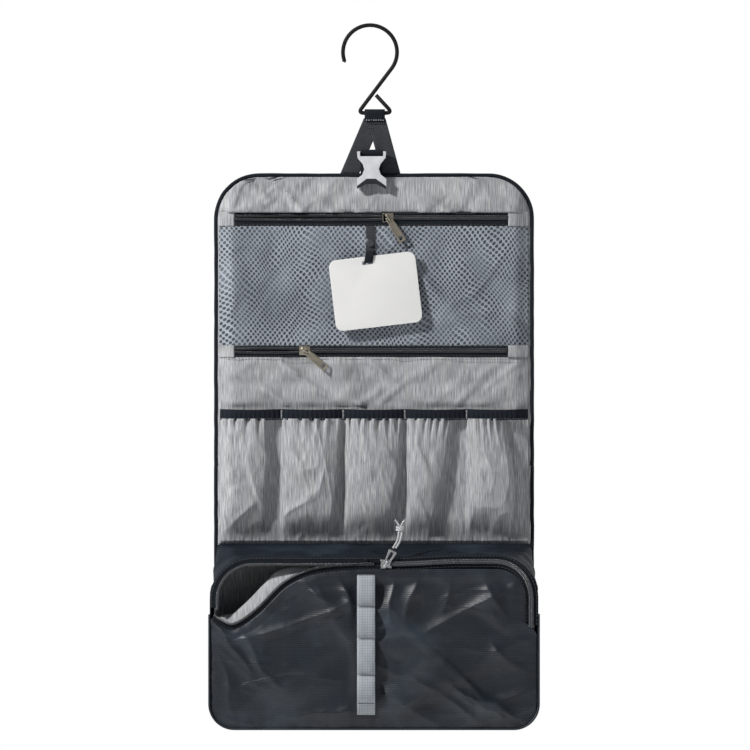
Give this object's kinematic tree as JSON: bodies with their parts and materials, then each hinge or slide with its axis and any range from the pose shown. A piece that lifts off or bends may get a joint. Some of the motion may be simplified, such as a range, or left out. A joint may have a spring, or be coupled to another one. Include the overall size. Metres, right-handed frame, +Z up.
{
  "type": "hanging toiletry bag",
  "caption": "Hanging toiletry bag that opens flat below a wire hook, with net, zipped and elastic pockets, a loose mirror and a deep zipped pouch.",
  "frame": {"origin": "inside of the hook's crook, where the rail bears, above the middle of the bag", "axes": "+Z up, +X to the viewer's right across the bag, -Y out of its front"},
  "size_m": [0.278, 0.077, 0.5946],
  "materials": {
    "wire": "black, satin",
    "webbing": "dark grey woven webbing",
    "shell": "dark woven shell, matt",
    "ripstop": "charcoal fine-ribbed cloth, slight sheen",
    "lining": "grey melange woven lining, matt",
    "net": "blue-grey knitted net",
    "binding": "near-black woven tape",
    "daisy_webbing": "light grey woven webbing",
    "cord": "light grey braided cord",
    "buckle": "light grey moulded plastic",
    "pull_metal": "aged brass",
    "slider_metal": "silver-grey plated metal",
    "snap": "grey press stud",
    "mirror": "polished mirror"
  },
  "bodies": {
    "hook": {"hanging_hook": "wire"},
    "hanger": {"hanger_webbing": "webbing"},
    "upper_section": {"upper_shell": "shell", "upper_lining": "lining", "upper_binding": "binding", "top_panel": "lining", "mesh_panel": "net", "zip_pocket_header": "lining", "upper_zip_tape_top": "binding", "upper_zip_tape_bottom": "binding", "upper_zip_tab_left": "lining", "upper_zip_tab_right": "lining", "mid_zip_tape_top": "binding", "mid_zip_tape_bottom": "binding", "mid_zip_tab_left": "lining", "mid_zip_tab_right": "lining", "socket_strap": "binding"},
    "socket": {"buckle_socket": "buckle"},
    "upper_slider": {"upper_slider": "pull_metal"},
    "upper_pull": {"upper_pull_tab": "pull_metal"},
    "mid_slider": {"mid_slider": "pull_metal"},
    "mid_pull": {"mid_pull_tab": "pull_metal"},
    "mirror_strap": {"mirror_strap": "binding", "mirror_strap_snap": "snap"},
    "mirror": {"mirror_plate": "mirror"},
    "middle_section": {"middle_shell": "shell", "middle_lining": "lining", "middle_binding_left": "binding", "middle_binding_right": "binding", "pocket_backing": "lining", "elastic_band": "binding", "gathered_pockets": "lining"},
    "pouch": {"pouch_back": "shell", "pouch_back_lining": "lining", "pouch_binding": "binding", "pouch_side_gusset": "ripstop", "pouch_top_gusset": "ripstop", "pouch_front": "ripstop", "pouch_front_lining": "lining", "main_zip_tape_rear": "binding", "main_zip_tape_front": "binding", "daisy_strap": "daisy_webbing"},
    "main_slider": {"main_slider": "slider_metal"},
    "main_pull": {"main_pull_link": "slider_metal", "pull_cord_left": "cord", "pull_cord_right": "cord", "pull_cord_knot": "cord"},
    "plug": {"plug_strap": "binding", "buckle_plug": "buckle"},
    "prong_left": {"prong_left": "buckle"},
    "prong_right": {"prong_right": "buckle"}
  },
  "joints": [
    {"name": "hook_swing", "type": "hinge", "parent": "hook", "child": "hanger", "pos_m": [0.001, 0, -0.0721], "axis": [1, 0, 0], "range_deg": [-90, 90]},
    {"name": "hanger_fold", "type": "hinge", "parent": "hanger", "child": "upper_section", "pos_m": [0, 0.0012, -0.123], "axis": [-1, 0, 0], "range_deg": [-90, 0]},
    {"name": "socket_swing", "type": "hinge", "parent": "upper_section", "child": "socket", "pos_m": [-0.0021, -0.0072, -0.1058], "axis": [-1, 0, 0], "range_deg": [0, 150]},
    {"name": "upper_zip_slide", "type": "slide", "parent": "upper_section", "child": "upper_slider", "axis": [1, 0, 0], "range_m": [-0.124, 0.096]},
    {"name": "upper_pull_swing", "type": "hinge", "parent": "upper_slider", "child": "upper_pull", "pos_m": [0.0118, -0.0106, -0.1605], "axis": [-0.848, 0, -0.5299], "range_deg": [0, 150]},
    {"name": "mirror_strap_swing", "type": "hinge", "parent": "upper_section", "child": "mirror_strap", "pos_m": [-0.0031, -0.0088, -0.1672], "axis": [-1, 0, 0], "range_deg": [0, 140]},
    {"name": "mirror_swing", "type": "hinge", "parent": "mirror_strap", "child": "mirror", "pos_m": [-0.0031, -0.013, -0.1945], "axis": [1, 0, 0], "range_deg": [-40, 0]},
    {"name": "mid_zip_slide", "type": "slide", "parent": "upper_section", "child": "mid_slider", "axis": [1, 0, 0], "range_m": [-0.0535, 0.166]},
    {"name": "mid_pull_swing", "type": "hinge", "parent": "mid_slider", "child": "mid_pull", "pos_m": [-0.0586, -0.0106, -0.2725], "axis": [-0.6428, 0, -0.766], "range_deg": [0, 150]},
    {"name": "fold_upper", "type": "hinge", "parent": "upper_section", "child": "middle_section", "pos_m": [0, -0.0034, -0.3], "axis": [-1, 0, 0], "range_deg": [0, 115]},
    {"name": "fold_lower", "type": "hinge", "parent": "middle_section", "child": "pouch", "pos_m": [0, -0.003, -0.4355], "axis": [1, 0, 0], "range_deg": [-45, 0]},
    {"name": "main_zip_slide", "type": "slide", "parent": "pouch", "child": "main_slider", "axis": [1, 0, 0], "range_m": [0, 0.09]},
    {"name": "main_pull_swing", "type": "hinge", "parent": "main_slider", "child": "main_pull", "pos_m": [0.0101, -0.0589, -0.452], "axis": [0.8829, 0, -0.4695], "range_deg": [0, 160]},
    {"name": "plug_swing", "type": "hinge", "parent": "pouch", "child": "plug", "pos_m": [-0.0021, 0.002, -0.515], "axis": [1, 0, 0], "range_deg": [0, 120]},
    {"name": "prong_left_squeeze", "type": "hinge", "parent": "plug", "child": "prong_left", "pos_m": [-0.0116, 0.0042, -0.5525], "axis": [0, -1, 0], "range_deg": [0, 6], "stiffness_Nm_per_rad": 0.001},
    {"name": "prong_right_squeeze", "type": "hinge", "parent": "plug", "child": "prong_right", "pos_m": [0.0074, 0.0042, -0.5525], "axis": [0, 1, 0], "range_deg": [0, 6], "stiffness_Nm_per_rad": 0.001}
  ],
  "couplings": [
    {"joint": "prong_right_squeeze", "follows": "prong_left_squeeze", "ratio": 1}
  ]
}
